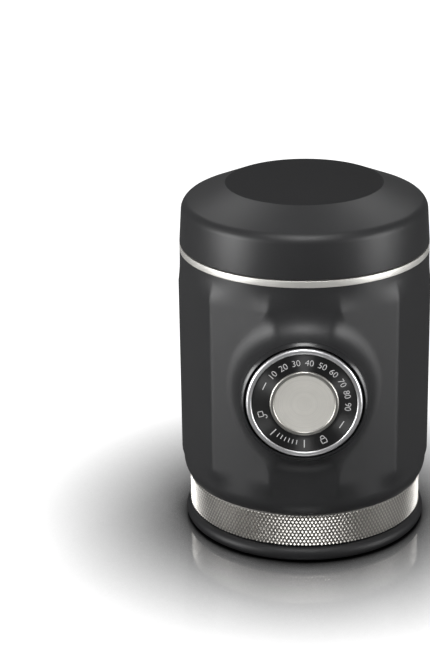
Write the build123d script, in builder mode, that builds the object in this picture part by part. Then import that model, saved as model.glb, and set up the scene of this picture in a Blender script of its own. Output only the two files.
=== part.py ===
"""Handheld manual espresso maker: a faceted body with a screw lid, a hand pump and a 52 mm basket.

Millimetres, +Z up. The origin is on the axis of the body, on the underside of the base cap.
The pump runs along Y, and its knob faces -Y, which is the front.
Screw threads are left plain: a threaded pair is two cylinders with a clearance.
"""

import math
import os

from build123d import *

os.makedirs("parts", exist_ok=True)

# ---------------------------------------------------------------- driving dimensions
# clearances
seat_gap = 0.3  # between pieces that lie face to face but come apart
thread_gap = 0.3  # radial, between plain cylinders that stand for a thread
slide_gap = 0.15  # radial, round the knob's skirt
running_gap = 0.05  # radial, round the rod and the plunger's seal
drop_in_gap = 0.2  # radial, round a piece that is dropped into its bore

# body housing
facet_count = 12
body_height = 68.4
body_foot_inset = 1.6  # how much narrower the foot is than the flats
body_foot_rounding = 5.0  # height of the rounding
body_foot_fade = 4.5  # height over which the flats run out above it
body_top_fade = 6.5  # height over which the flats run out into the round rim
body_wall = 3.2

# base cap
base_flange_inset = 0.5  # from the width across the flats
base_flange_height = 4.0
base_edge_rounding = 1.9
base_lip_height = 4.0
base_lip_wall = 1.0
base_foot_groove_inset = 8.0  # from the edge of the flange
base_foot_groove_width = 2.0
base_foot_groove_depth = 0.8

# portafilter ring and basket
ring_inset = 1.7  # from the width across the flats
ring_height = 9.8
ring_edge_rounding = 0.4
ring_wall = 2.5
ring_collar_length = 12.2
basket_inner_radius = 26.0  # a standard 52 mm basket, which the width of the rest follows
basket_wall = 0.8
basket_depth = 20.5
basket_rim_width = 3.4
basket_foot_rounding = 1.5
basket_hole_radius = 0.9
basket_hole_rings = 2
basket_hole_pitch = 7.5

# brew head
collar_wall = 1.3
collar_step = 0.2  # the collar stands in a bore this much wider than the one above it
gasket_height = 2.0
gasket_width = 4.2
head_height = 6.4
spigot_height = 1.4
screen_thickness = 0.6
screen_hole_radius = 0.8
screen_hole_rings = 3
screen_hole_pitch = 6.2
shower_screw_radius = 4.0
shower_screw_head = 0.9
shower_screw_shank = 1.6
shower_screw_length = 6.0
feed_channel_radius = 1.4
feed_hole_y = 8.0  # where the channel turns down to the screen
plenum_inset = 8.0  # from the edge of the spigot
plenum_depth = 0.8
outlet_seal_width = 1.4
outlet_seal_height = 1.0

# pump block, clamped to the brew head through the ledge of the body
ledge_height = 3.0
ledge_width = 5.3
block_flange_height = 3.0
block_back_wall = 2.0  # behind the valves
clamp_screw_inset = 7.5  # from the inside of the ledge
clamp_screw_span_y = 14.0
clamp_screw_radius = 1.5
clamp_screw_head_radius = 2.6
clamp_screw_head_height = 2.0
clamp_screw_length = 12.0

# pump cylinder and valves
pump_over_head = 0.55  # between the brew head and the bore that the knob slides in
block_over_pump = 0.75  # between that bore and the top of the pump block
cylinder_bore_radius = 8.5
cylinder_wall = 1.0
rod_guide_length = 3.0
head_clearance = 1.0  # between the guide and the plunger's head, drawn right out
valve_wall = 0.4  # between the cylinder and the valves behind it
valve_chamber_radius = 3.2
valve_throat_radius = 1.3
valve_ball_radius = 2.0
valve_lift = 1.0
valve_spring_radius = 1.6
valve_spring_wire = 0.4
valve_spring_turns = 3
valve_seat_length = 2.8
valve_seat_gap = 0.1
valve_cap_length = 2.0

# knob and piston
boss_proud = 6.4  # in front of the flats
boss_wall = 1.15
boss_blend_radius = 4.0
boss_mouth_depth = 4.2
boss_edge_rounding = 0.4
bush_wall = 1.1
bush_length = 5.4
bezel_overhang = 0.65  # beyond the knob's skirt
bezel_width = 1.35
bezel_depth = 2.0
bezel_proud = 0.4
knob_skirt_radius = 15.2
knob_wall = 1.9
knob_plate = 2.5
knob_engagement = 3.7  # length of skirt left in the bush, drawn right out
knob_clearance = 1.0  # between the skirt and the spring's washer, pushed right in
dial_recess = 0.4
button_radius = 9.4
button_bevel = 0.9
button_proud = 0.2
rod_radius = 4.0
rod_socket = 1.5  # how deep the rod sits in the knob's plate
plunger_head_length = 4.0
plunger_seal_length = 2.0
plunger_seal_depth = 1.6
plunger_screw_head = 1.2
plunger_screw_radius = 2.6
plunger_screw_shank = 1.5
plunger_screw_length = 8.0
spring_wire = 1.2
spring_wire_sides = 6  # the round wire of all the springs is drawn with this many sides
spring_clearance = 0.5  # radial, round the cylinder
spring_turns = 6.5
washer_thickness = 1.2
washer_width = 3.5

# water tank
tank_flange_height = 1.9
tank_wall = 0.9
tank_neck_height = 8.9
tank_floor_rounding = 2.5
oring_section = 1.6
nut_flange_radius = 5.0
nut_flange_height = 1.6
nut_shank_radius = 3.9
nut_bore_radius = 2.2
nut_seat_gap = 0.5  # between the nut and the seat of the inlet valve under it
tank_gasket_width = 2.6
tank_gasket_height = 0.8
strainer_radius = 7.2
strainer_height = 3.4
strainer_wall = 0.5
strainer_hole_radius = 0.7
strainer_hole_count = 10

# lid
lid_height = 17.0
lid_slope_width = 12.65
lid_side_lean = 0.75  # how much narrower the lid is at its shoulder than at its foot
lid_shoulder_height = 11.7
lid_shoulder_rounding = 1.3
lid_wall = 2.0
liner_wall = 1.0
liner_plate = 1.2
liner_inset = 0.9
lid_seal_height = 1.0
lid_seal_width = 2.6
vent_disc_radius = 4.2
vent_disc_height = 0.9
vent_stem_radius = 1.2
vent_bulb_radius = 1.7
vent_bulb_height = 0.8
vent_hole_count = 4
vent_hole_radius = 0.5

# ---------------------------------------------------------------- places worked out from them
ring_bottom = base_flange_height + seat_gap
ring_top = ring_bottom + ring_height
body_bottom = ring_top + seat_gap
body_top = body_bottom + body_height
tank_flange_top = body_top + tank_flange_height
lid_bottom = tank_flange_top + seat_gap
lid_top = lid_bottom + lid_height

basket_outer_radius = basket_inner_radius + basket_wall
ring_bore_radius = basket_outer_radius + base_lip_wall + 2 * seat_gap
ring_collar_radius = ring_bore_radius + ring_wall
collar_inner_radius = ring_collar_radius + thread_gap
collar_outer_radius = collar_inner_radius + collar_wall
body_bore_radius = collar_outer_radius - collar_step
body_apothem = body_bore_radius + body_wall  # half the width across the flats
facet_corner_radius = body_apothem / math.cos(math.pi / facet_count)
body_foot_radius = body_apothem - body_foot_inset
ring_radius = body_apothem - ring_inset
base_flange_radius = body_apothem - base_flange_inset
base_foot_groove_radius = base_flange_radius - base_foot_groove_inset
ring_collar_top = ring_top + ring_collar_length
basket_rim_bottom = ring_collar_top + seat_gap
basket_rim_top = basket_rim_bottom + basket_wall
basket_rim_radius = basket_inner_radius + basket_rim_width
basket_floor_top = basket_rim_top - basket_depth
basket_floor_bottom = basket_floor_top - basket_wall

gasket_bottom = basket_rim_top + seat_gap
head_bottom = gasket_bottom + gasket_height
head_top = head_bottom + head_height
head_radius = body_bore_radius - drop_in_gap
gasket_outer_radius = basket_rim_radius + seat_gap
gasket_inner_radius = gasket_outer_radius - gasket_width
spigot_radius = gasket_inner_radius
spigot_bottom = head_bottom - spigot_height
screen_bottom = spigot_bottom - screen_thickness
screen_radius = spigot_radius - drop_in_gap
plenum_radius = spigot_radius - plenum_inset

skirt_clear_radius = knob_skirt_radius + slide_gap
pump_axis_height = head_top + pump_over_head + skirt_clear_radius
block_top = pump_axis_height + skirt_clear_radius + block_over_pump

ledge_bottom = head_top
ledge_top = ledge_bottom + ledge_height
ledge_inner_radius = body_bore_radius - ledge_width
block_core_radius = ledge_inner_radius - drop_in_gap
block_flange_radius = body_bore_radius - drop_in_gap

tank_outer_radius = body_bore_radius - drop_in_gap
tank_inner_radius = tank_outer_radius - tank_wall
oring_radius = (body_bore_radius + body_apothem) / 2
neck_top = tank_flange_top + tank_neck_height
tank_floor_bottom = block_top + tank_gasket_height
tank_floor_top = tank_floor_bottom + tank_wall

bush_outer_radius = skirt_clear_radius + bush_wall
boss_radius = bush_outer_radius + boss_wall
boss_front_y = -body_apothem - boss_proud
bush_front_y = boss_front_y + boss_mouth_depth
bush_back_y = bush_front_y + bush_length
bezel_front_y = boss_front_y - bezel_proud
bezel_back_y = bezel_front_y + bezel_depth
plate_back_y = bezel_back_y + knob_plate
bezel_radius = knob_skirt_radius + bezel_overhang
dial_radius = bezel_radius - bezel_width

# the depth that is left for the knob and the plunger is shared by their two equal strokes
knob_stack = knob_engagement + knob_clearance + washer_thickness + seat_gap
cylinder_stack = rod_guide_length + head_clearance + plunger_head_length + plunger_screw_head + seat_gap
valve_stack = valve_wall + 2 * valve_chamber_radius + block_back_wall
stroke_room = block_core_radius - bush_front_y - knob_stack - cylinder_stack - valve_stack
piston_stroke = stroke_room / 2
knob_end_y = bush_front_y + knob_engagement + piston_stroke
block_front_y = knob_end_y + knob_clearance + washer_thickness + seat_gap

cylinder_outer_radius = cylinder_bore_radius + cylinder_wall
spring_mean_radius = cylinder_outer_radius + spring_clearance + spring_wire / 2
washer_inner_radius = spring_mean_radius - washer_width / 2
washer_outer_radius = spring_mean_radius + washer_width / 2
plunger_radius = cylinder_bore_radius - 3 * running_gap
seal_radius = cylinder_bore_radius - running_gap
head_front_y = block_front_y + rod_guide_length + head_clearance + piston_stroke
head_back_y = head_front_y + plunger_head_length
cylinder_end_y = head_back_y + plunger_screw_head + seat_gap
seal_front_y = head_front_y + (plunger_head_length - plunger_seal_length) / 2
washer_back_y = block_front_y - seat_gap
washer_front_y = washer_back_y - washer_thickness

valve_y = cylinder_end_y + valve_wall + valve_chamber_radius
throat_half = cylinder_bore_radius / 2  # the throats end this far above and below the axis
valve_seat_drop = math.sqrt(valve_ball_radius**2 - valve_throat_radius**2) + valve_seat_gap
valve_spring_rise = math.sqrt(valve_ball_radius**2 - valve_spring_radius**2)
valve_spring_length = (valve_spring_turns + 1) * valve_spring_wire + valve_lift
valve_chamber_length = valve_seat_drop + valve_spring_rise + valve_seat_gap + valve_spring_length
inlet_floor = pump_axis_height + throat_half
inlet_seat_bottom = inlet_floor + valve_chamber_length
nut_shank_length = block_top - inlet_seat_bottom - valve_seat_length - nut_seat_gap
outlet_seat_z = pump_axis_height - throat_half
outlet_floor = outlet_seat_z - valve_chamber_length
inlet_ball_z = inlet_seat_bottom - valve_seat_drop
outlet_ball_z = outlet_seat_z - valve_seat_drop

outlet_seal_radius = valve_chamber_radius + drop_in_gap + outlet_seal_width
clamp_screw_seat = spigot_bottom + clamp_screw_head_height
clamp_screw_top = clamp_screw_seat + clamp_screw_length
feed_channel_z = (head_bottom + head_top) / 2
clamp_screw_span_x = 2 * (ledge_inner_radius - clamp_screw_inset)
base_lip_radius = ring_bore_radius - seat_gap

liner_outer_radius = tank_outer_radius + thread_gap + liner_wall
liner_inner_radius = liner_outer_radius - liner_wall
lid_seal_bottom = neck_top + seat_gap
lid_seal_top = lid_seal_bottom + lid_seal_height
liner_plate_bottom = lid_seal_top + seat_gap
liner_plate_top = liner_plate_bottom + liner_plate
shoulder_z = lid_bottom + lid_shoulder_height
lid_shoulder_radius = body_apothem - lid_side_lean
lid_disc_radius = lid_shoulder_radius - lid_slope_width
lid_slope = math.atan2(lid_top - shoulder_z, lid_shoulder_radius - lid_disc_radius)

# ---------------------------------------------------------------- shared planes and shapes
def pump_plane(y):
    """A plane across the pump's axis at this Y, facing the front."""
    return Plane(origin=(0, y, pump_axis_height), x_dir=(1, 0, 0), z_dir=(0, -1, 0))


def valve_plane(z):
    """A level plane on the axis of the valves."""
    return Plane(origin=(0, valve_y, z))


def annulus(outer, inner):
    """A flat ring in the sketch that is open."""
    Circle(outer)
    Circle(inner, mode=Mode.SUBTRACT)


def level_edges(edges, z):
    """Those of the edges that lie at this height."""
    return edges.filter_by_position(Axis.Z, z - 0.01, z + 0.01)


def finish(part, name):
    part.label = name
    export_step(part, f"parts/{name}.step")


# ---------------------------------------------------------------- housing
# A turned blank, wider than the corners of the flats except at its two ends, is cut to the
# twelve flats, so that each corner runs out into the round foot and the round rim.
with BuildPart() as body_shell:
    blank_radius = facet_corner_radius + 0.2
    foot_top = body_bottom + body_foot_rounding
    flats_start = foot_top + body_foot_fade
    flats_end = body_top - body_top_fade
    with BuildSketch(Plane.XZ):
        with BuildLine():
            Polyline((0, body_top), (0, body_bottom), (body_foot_radius, body_bottom))
            TangentArc((body_apothem, foot_top), (body_foot_radius, body_bottom), tangent=(0, -1))
            TangentArc((body_apothem, foot_top), (blank_radius, flats_start), tangent=(0, 1))
            Line((blank_radius, flats_start), (blank_radius, flats_end))
            TangentArc((blank_radius, flats_end), (body_apothem, body_top), tangent=(0, 1))
            Line((body_apothem, body_top), (0, body_top))
        make_face()
    revolve(axis=Axis.Z)
    with BuildSketch(Plane.XY.offset(body_bottom)):
        RegularPolygon(
            radius=body_apothem, side_count=facet_count, major_radius=False, rotation=180 / facet_count
        )
    extrude(amount=body_height, mode=Mode.INTERSECT)

    # the boss that carries the knob, blended into the flats
    with BuildSketch(pump_plane(0)):
        Circle(boss_radius)
    extrude(amount=-boss_front_y)
    boss_root = [
        edge
        for edge in body_shell.edges()
        if edge.center().Y < 0
        and edge.bounding_box().min.Y > boss_front_y + 1
        and all(
            abs(math.hypot(v.X, v.Z - pump_axis_height) - boss_radius) < 0.01 for v in edge.vertices()
        )
    ]
    fillet(boss_root, boss_blend_radius)
    boss_rim = body_shell.edges().filter_by(GeomType.CIRCLE).sort_by(Axis.Y)[0]
    fillet(boss_rim, boss_edge_rounding)

    # bores for the tank, the pump and the brew head, with the ledge that they clamp to
    with BuildSketch(Plane.XY.offset(body_bottom)):
        Circle(collar_outer_radius)
    extrude(amount=head_bottom - body_bottom, mode=Mode.SUBTRACT)
    with BuildSketch(Plane.XY.offset(head_bottom)):
        Circle(body_bore_radius)
    extrude(amount=ledge_bottom - head_bottom, mode=Mode.SUBTRACT)
    with BuildSketch(Plane.XY.offset(ledge_bottom)):
        Circle(ledge_inner_radius)
    extrude(amount=ledge_height, mode=Mode.SUBTRACT)
    with BuildSketch(Plane.XY.offset(ledge_top)):
        Circle(body_bore_radius)
    extrude(amount=body_top - ledge_top, mode=Mode.SUBTRACT)
    with BuildSketch(pump_plane(bush_back_y)):
        Circle(bush_outer_radius)
    extrude(amount=bush_back_y - boss_front_y, mode=Mode.SUBTRACT)
    with BuildSketch(pump_plane(bush_back_y)):
        Circle(skirt_clear_radius)
    extrude(amount=bush_back_y, mode=Mode.SUBTRACT)

    # groove for the O-ring under the tank's flange
    with BuildSketch(Plane.XY.offset(body_top)):
        annulus(oring_radius + oring_section / 2, oring_radius - oring_section / 2)
    extrude(amount=-oring_section, mode=Mode.SUBTRACT)
finish(body_shell.part, "body_shell")

with BuildPart() as thread_collar:
    with BuildSketch(Plane.XY.offset(body_bottom)):
        annulus(collar_outer_radius, collar_inner_radius)
    extrude(amount=head_bottom - body_bottom)
    chamfer(thread_collar.edges().group_by(Axis.Z)[0].sort_by(SortBy.LENGTH)[0], collar_wall / 2)
finish(thread_collar.part, "thread_collar")

with BuildPart() as boss_bush:
    with BuildSketch(pump_plane(bush_back_y)):
        annulus(bush_outer_radius, skirt_clear_radius)
    extrude(amount=bush_length)
    chamfer(boss_bush.edges().group_by(Axis.Y)[0].sort_by(SortBy.LENGTH)[0], bush_wall / 3)
finish(boss_bush.part, "boss_bush")

# ---------------------------------------------------------------- water tank
with BuildPart() as tank_liner:
    with BuildSketch(Plane.XZ):
        with BuildLine():
            Polyline(
                (0, tank_floor_bottom),
                (tank_outer_radius, tank_floor_bottom),
                (tank_outer_radius, body_top),
                (body_apothem, body_top),
                (body_apothem, tank_flange_top),
                (tank_outer_radius, tank_flange_top),
                (tank_outer_radius, neck_top),
                (tank_inner_radius, neck_top),
                (tank_inner_radius, tank_floor_top),
                (0, tank_floor_top),
                close=True,
            )
        make_face()
    revolve(axis=Axis.Z)
    floor_corners = tank_liner.edges().filter_by(GeomType.CIRCLE)
    fillet(level_edges(floor_corners, tank_floor_top), tank_floor_rounding)
    fillet(level_edges(floor_corners, tank_floor_bottom), tank_floor_rounding + tank_wall)
    with BuildSketch(valve_plane(tank_floor_bottom)):
        Circle(nut_shank_radius)
    extrude(amount=tank_wall, mode=Mode.SUBTRACT)
finish(tank_liner.part, "tank_liner")

with BuildPart() as tank_oring:
    with BuildSketch(Plane.XZ):
        with Locations((oring_radius, body_top - oring_section / 2)):
            Circle(oring_section / 2)
    revolve(axis=Axis.Z)
finish(tank_oring.part, "tank_oring")

with BuildPart() as tank_gasket:
    with BuildSketch(valve_plane(block_top)):
        annulus(nut_shank_radius + tank_gasket_width, nut_shank_radius)
    extrude(amount=tank_gasket_height)
finish(tank_gasket.part, "tank_gasket")

with BuildPart() as tank_nut:
    with BuildSketch(valve_plane(tank_floor_top)):
        RegularPolygon(radius=nut_flange_radius, side_count=6, major_radius=False)
    extrude(amount=nut_flange_height)
    with BuildSketch(valve_plane(tank_floor_top)):
        Circle(nut_shank_radius)
    extrude(amount=-tank_wall - tank_gasket_height - nut_shank_length)
    with Locations((0, valve_y, tank_floor_top + nut_flange_height)):
        Hole(nut_bore_radius)
finish(tank_nut.part, "tank_nut")

with BuildPart() as inlet_strainer:
    with BuildSketch(valve_plane(tank_floor_top)):
        Circle(strainer_radius)
    extrude(amount=strainer_height)
    fillet(inlet_strainer.edges().group_by(Axis.Z)[-1], strainer_wall * 1.5)
    with BuildSketch(valve_plane(tank_floor_top)):
        Circle(strainer_radius - strainer_wall)
    extrude(amount=strainer_height - strainer_wall, mode=Mode.SUBTRACT)
    with BuildSketch(valve_plane(tank_floor_top)):
        with PolarLocations(strainer_radius / 2, strainer_hole_count):
            Circle(strainer_hole_radius)
    extrude(amount=strainer_height, mode=Mode.SUBTRACT)
finish(inlet_strainer.part, "inlet_strainer")

# ---------------------------------------------------------------- lid
with BuildPart() as lid_shell:
    inner_top = lid_top - lid_wall
    offset_radius = lid_shoulder_radius - lid_wall * math.sin(lid_slope)
    offset_z = shoulder_z - lid_wall * math.cos(lid_slope)
    inner_slope_foot = offset_z + (offset_radius - liner_outer_radius) * math.tan(lid_slope)
    inner_disc_radius = offset_radius - (inner_top - offset_z) / math.tan(lid_slope)
    with BuildSketch(Plane.XZ):
        with BuildLine():
            Polyline(
                (0, lid_top),
                (lid_disc_radius, lid_top),
                (lid_shoulder_radius, shoulder_z),
                (body_apothem, lid_bottom),
                (liner_outer_radius, lid_bottom),
                (liner_outer_radius, inner_slope_foot),
                (inner_disc_radius, inner_top),
                (0, inner_top),
                close=True,
            )
        make_face()
    revolve(axis=Axis.Z)
    turned_edges = lid_shell.edges().filter_by(GeomType.CIRCLE)
    fillet(level_edges(turned_edges, shoulder_z), lid_shoulder_rounding)
finish(lid_shell.part, "lid_shell")

with BuildPart() as lid_liner:
    liner_edge_radius = liner_outer_radius - (liner_plate_top - inner_slope_foot) / math.tan(lid_slope)
    with BuildSketch(Plane.XZ):
        with BuildLine():
            Polyline(
                (0, liner_plate_bottom),
                (liner_inner_radius, liner_plate_bottom),
                (liner_inner_radius, lid_bottom + liner_inset),
                (liner_outer_radius, lid_bottom + liner_inset),
                (liner_outer_radius, inner_slope_foot),
                (liner_edge_radius, liner_plate_top),
                (0, liner_plate_top),
                close=True,
            )
        make_face()
    revolve(axis=Axis.Z)
    with BuildSketch(Plane.XY.offset(liner_plate_bottom)):
        Circle(vent_stem_radius)
        with PolarLocations((vent_disc_radius + vent_stem_radius) / 2, vent_hole_count):
            Circle(vent_hole_radius)
    extrude(amount=liner_plate, mode=Mode.SUBTRACT)
finish(lid_liner.part, "lid_liner")

with BuildPart() as lid_seal:
    with BuildSketch(Plane.XY.offset(lid_seal_bottom)):
        annulus(liner_inner_radius - seat_gap, liner_inner_radius - seat_gap - lid_seal_width)
    extrude(amount=lid_seal_height)
    fillet(lid_seal.edges().group_by(Axis.Z)[0], lid_seal_height / 3)
finish(lid_seal.part, "lid_seal")

with BuildPart() as lid_vent_valve:
    bulb_bottom = liner_plate_top
    with BuildSketch(Plane.XZ):
        with BuildLine():
            Polyline(
                (0, liner_plate_bottom - vent_disc_height),
                (vent_stem_radius, liner_plate_bottom - vent_disc_height),
                (vent_disc_radius, liner_plate_bottom - vent_disc_height / 3),
                (vent_disc_radius, liner_plate_bottom),
                (vent_stem_radius, liner_plate_bottom),
                (vent_stem_radius, bulb_bottom),
                (vent_bulb_radius, bulb_bottom),
                (vent_stem_radius, bulb_bottom + vent_bulb_height),
                (0, bulb_bottom + vent_bulb_height),
                close=True,
            )
        make_face()
    revolve(axis=Axis.Z)
finish(lid_vent_valve.part, "lid_vent_valve")

# ---------------------------------------------------------------- pump block and its valves
with BuildPart() as pump_block:
    with BuildSketch(Plane.XY.offset(head_top)):
        Circle(block_core_radius)
    extrude(amount=block_top - head_top)
    with BuildSketch(Plane.XY.offset(ledge_top)):
        Circle(block_flange_radius)
    extrude(amount=block_flange_height)
    # the front is open, so that the knob's skirt can slide up to the cylinder
    with BuildSketch(pump_plane(block_front_y)):
        Rectangle(2.2 * body_apothem, 2 * body_height)
    extrude(amount=body_apothem, mode=Mode.SUBTRACT)
    with BuildSketch(pump_plane(cylinder_end_y)):
        Circle(cylinder_outer_radius)
    extrude(amount=cylinder_end_y - block_front_y, mode=Mode.SUBTRACT)
    # the port behind the cylinder opens into the throats of the two valves
    with BuildSketch(pump_plane(valve_y)):
        Circle(throat_half / 2)
    extrude(amount=valve_y - cylinder_end_y, mode=Mode.SUBTRACT)
    with BuildSketch(valve_plane(outlet_seat_z)):
        Circle(valve_throat_radius)
    extrude(amount=2 * throat_half, mode=Mode.SUBTRACT)
    with BuildSketch(valve_plane(inlet_floor)):
        Circle(valve_chamber_radius)
    extrude(amount=valve_chamber_length + valve_seat_length, mode=Mode.SUBTRACT)
    with BuildSketch(valve_plane(head_top)):
        Circle(valve_chamber_radius)
    extrude(amount=outlet_seat_z - head_top, mode=Mode.SUBTRACT)
    with BuildSketch(valve_plane(inlet_seat_bottom + valve_seat_length)):
        Circle(nut_bore_radius)
    extrude(amount=block_top - inlet_seat_bottom - valve_seat_length, mode=Mode.SUBTRACT)
    with BuildSketch(valve_plane(block_top)):
        Circle(nut_shank_radius)
    extrude(amount=-nut_shank_length, mode=Mode.SUBTRACT)
    # groove for the outlet's seal and holes for the clamping screws
    with BuildSketch(valve_plane(head_top)):
        annulus(outlet_seal_radius, outlet_seal_radius - outlet_seal_width)
    extrude(amount=outlet_seal_height, mode=Mode.SUBTRACT)
    with BuildSketch(Plane.XY.offset(head_top)):
        with GridLocations(clamp_screw_span_x, clamp_screw_span_y, 2, 2):
            Circle(clamp_screw_radius)
    extrude(amount=clamp_screw_top - head_top, mode=Mode.SUBTRACT)
finish(pump_block.part, "pump_block")

with BuildPart() as pump_cylinder:
    with BuildSketch(pump_plane(cylinder_end_y)):
        annulus(cylinder_outer_radius, cylinder_bore_radius)
    extrude(amount=cylinder_end_y - block_front_y)
finish(pump_cylinder.part, "pump_cylinder")

with BuildPart() as rod_guide:
    with BuildSketch(pump_plane(block_front_y + rod_guide_length)):
        annulus(cylinder_bore_radius, rod_radius + running_gap)
    extrude(amount=rod_guide_length)
finish(rod_guide.part, "rod_guide")

with BuildPart() as inlet_valve_seat:
    with BuildSketch(valve_plane(inlet_seat_bottom)):
        annulus(valve_chamber_radius, valve_throat_radius)
    extrude(amount=valve_seat_length)
finish(inlet_valve_seat.part, "inlet_valve_seat")

with BuildPart() as outlet_valve_cap:
    with BuildSketch(valve_plane(outlet_floor - valve_cap_length)):
        annulus(valve_chamber_radius, valve_throat_radius)
    extrude(amount=valve_cap_length)
finish(outlet_valve_cap.part, "outlet_valve_cap")

with BuildPart() as outlet_seal:
    with BuildSketch(valve_plane(head_top)):
        annulus(outlet_seal_radius, outlet_seal_radius - outlet_seal_width)
    extrude(amount=outlet_seal_height)
finish(outlet_seal.part, "outlet_seal")

# each valve is a ball held up against its seat by a light coil spring
for valve_name, ball_z, spring_floor in (
    ("inlet", inlet_ball_z, inlet_floor),
    ("outlet", outlet_ball_z, outlet_floor),
):
    with BuildPart() as valve_ball:
        with Locations((0, valve_y, ball_z)):
            Sphere(valve_ball_radius)
    finish(valve_ball.part, f"{valve_name}_valve_ball")

    coil_height = valve_spring_length - valve_spring_wire
    with BuildPart() as valve_spring:
        with BuildLine():
            coil = Helix(
                pitch=coil_height / valve_spring_turns,
                height=coil_height,
                radius=valve_spring_radius,
                center=(0, valve_y, spring_floor + valve_spring_wire / 2),
            )
        with BuildSketch(Plane(origin=coil @ 0, z_dir=coil % 0)):
            RegularPolygon(radius=valve_spring_wire / 2, side_count=spring_wire_sides)
        sweep()
    finish(valve_spring.part, f"{valve_name}_valve_spring")

# ---------------------------------------------------------------- brew head
with BuildPart() as brew_head:
    with BuildSketch(Plane.XY.offset(head_bottom)):
        Circle(head_radius)
    extrude(amount=head_height)
    with BuildSketch(Plane.XY.offset(spigot_bottom)):
        Circle(spigot_radius)
    extrude(amount=spigot_height)
    with BuildSketch(Plane.XY.offset(spigot_bottom)):
        annulus(plenum_radius, shower_screw_radius)
    extrude(amount=plenum_depth, mode=Mode.SUBTRACT)
    # the water comes down from the outlet valve, along a channel and down behind the screen
    with BuildSketch(valve_plane(head_top)):
        Circle(feed_channel_radius)
    extrude(amount=feed_channel_z - head_top, mode=Mode.SUBTRACT)
    with BuildSketch(Plane(origin=(0, valve_y, feed_channel_z), x_dir=(1, 0, 0), z_dir=(0, -1, 0))):
        Circle(feed_channel_radius)
    extrude(amount=valve_y - feed_hole_y, mode=Mode.SUBTRACT)
    with BuildSketch(Plane(origin=(0, feed_hole_y, spigot_bottom))):
        Circle(feed_channel_radius)
    extrude(amount=feed_channel_z - spigot_bottom, mode=Mode.SUBTRACT)
    with Locations((0, 0, spigot_bottom)):
        with Locations(Rotation(180, 0, 0)):
            Hole(shower_screw_shank, depth=shower_screw_length)
            with GridLocations(clamp_screw_span_x, clamp_screw_span_y, 2, 2):
                CounterBoreHole(
                    clamp_screw_radius, clamp_screw_head_radius, clamp_screw_head_height, head_height * 2
                )
finish(brew_head.part, "brew_head")

with BuildPart() as shower_screen:
    with BuildSketch(Plane.XY.offset(screen_bottom)):
        Circle(screen_radius)
        Circle(shower_screw_shank, mode=Mode.SUBTRACT)
        for ring_number in range(1, screen_hole_rings + 1):
            with PolarLocations(ring_number * screen_hole_pitch, 6 * ring_number):
                Circle(screen_hole_radius, mode=Mode.SUBTRACT)
    extrude(amount=screen_thickness)
finish(shower_screen.part, "shower_screen")

with BuildPart() as shower_screw:
    with BuildSketch(Plane.XY.offset(screen_bottom - shower_screw_head)):
        Circle(shower_screw_radius)
    extrude(amount=shower_screw_head)
    fillet(shower_screw.edges().group_by(Axis.Z)[0], shower_screw_head / 2)
    with BuildSketch(Plane.XY.offset(screen_bottom)):
        Circle(shower_screw_shank)
    extrude(amount=screen_thickness + shower_screw_length)
finish(shower_screw.part, "shower_screw")

with BuildPart() as group_gasket:
    with BuildSketch(Plane.XY.offset(gasket_bottom)):
        annulus(gasket_outer_radius, gasket_inner_radius)
    extrude(amount=gasket_height)
    fillet(group_gasket.edges().group_by(Axis.Z)[0], gasket_height / 5)
finish(group_gasket.part, "group_gasket")

with BuildPart() as clamp_screws:
    with BuildSketch(Plane.XY.offset(spigot_bottom)):
        with GridLocations(clamp_screw_span_x, clamp_screw_span_y, 2, 2):
            Circle(clamp_screw_head_radius)
    extrude(amount=clamp_screw_head_height)
    with BuildSketch(Plane.XY.offset(clamp_screw_seat)):
        with GridLocations(clamp_screw_span_x, clamp_screw_span_y, 2, 2):
            Circle(clamp_screw_radius)
    extrude(amount=clamp_screw_length)
    with BuildSketch(Plane.XY.offset(spigot_bottom)):
        with GridLocations(clamp_screw_span_x, clamp_screw_span_y, 2, 2):
            RegularPolygon(radius=clamp_screw_radius, side_count=6)
    extrude(amount=clamp_screw_head_height / 2, mode=Mode.SUBTRACT)
finish(clamp_screws.part, "clamp_screws")

# ---------------------------------------------------------------- portafilter and base
with BuildPart() as portafilter_ring:
    with BuildSketch(Plane.XY.offset(ring_bottom)):
        Circle(ring_radius)
    extrude(amount=ring_height)
    band_edges = portafilter_ring.edges().filter_by(GeomType.CIRCLE)
    fillet(band_edges, ring_edge_rounding)
    with BuildSketch(Plane.XY.offset(ring_top)):
        Circle(ring_collar_radius)
    extrude(amount=ring_collar_length)
    chamfer(portafilter_ring.edges().group_by(Axis.Z)[-1], ring_wall / 4)
    with BuildSketch(Plane.XY.offset(ring_bottom)):
        Circle(ring_bore_radius)
    extrude(amount=ring_height + ring_collar_length, mode=Mode.SUBTRACT)
finish(portafilter_ring.part, "portafilter_ring")

with BuildPart() as filter_basket:
    with BuildSketch(Plane.XZ):
        with BuildLine():
            Polyline(
                (0, basket_floor_bottom),
                (basket_outer_radius, basket_floor_bottom),
                (basket_outer_radius, basket_rim_bottom),
                (basket_rim_radius, basket_rim_bottom),
                (basket_rim_radius, basket_rim_top),
                (basket_inner_radius, basket_rim_top),
                (basket_inner_radius, basket_floor_top),
                (0, basket_floor_top),
                close=True,
            )
        make_face()
    revolve(axis=Axis.Z)
    foot = filter_basket.edges().filter_by(GeomType.CIRCLE)
    fillet(level_edges(foot, basket_floor_bottom), basket_foot_rounding + basket_wall)
    fillet(level_edges(foot, basket_floor_top), basket_foot_rounding)
    with BuildSketch(Plane.XY.offset(basket_floor_bottom)):
        Circle(basket_hole_radius)
        for ring_number in range(1, basket_hole_rings + 1):
            with PolarLocations(ring_number * basket_hole_pitch, 6 * ring_number):
                Circle(basket_hole_radius)
    extrude(amount=basket_wall, mode=Mode.SUBTRACT)
finish(filter_basket.part, "filter_basket")

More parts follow.
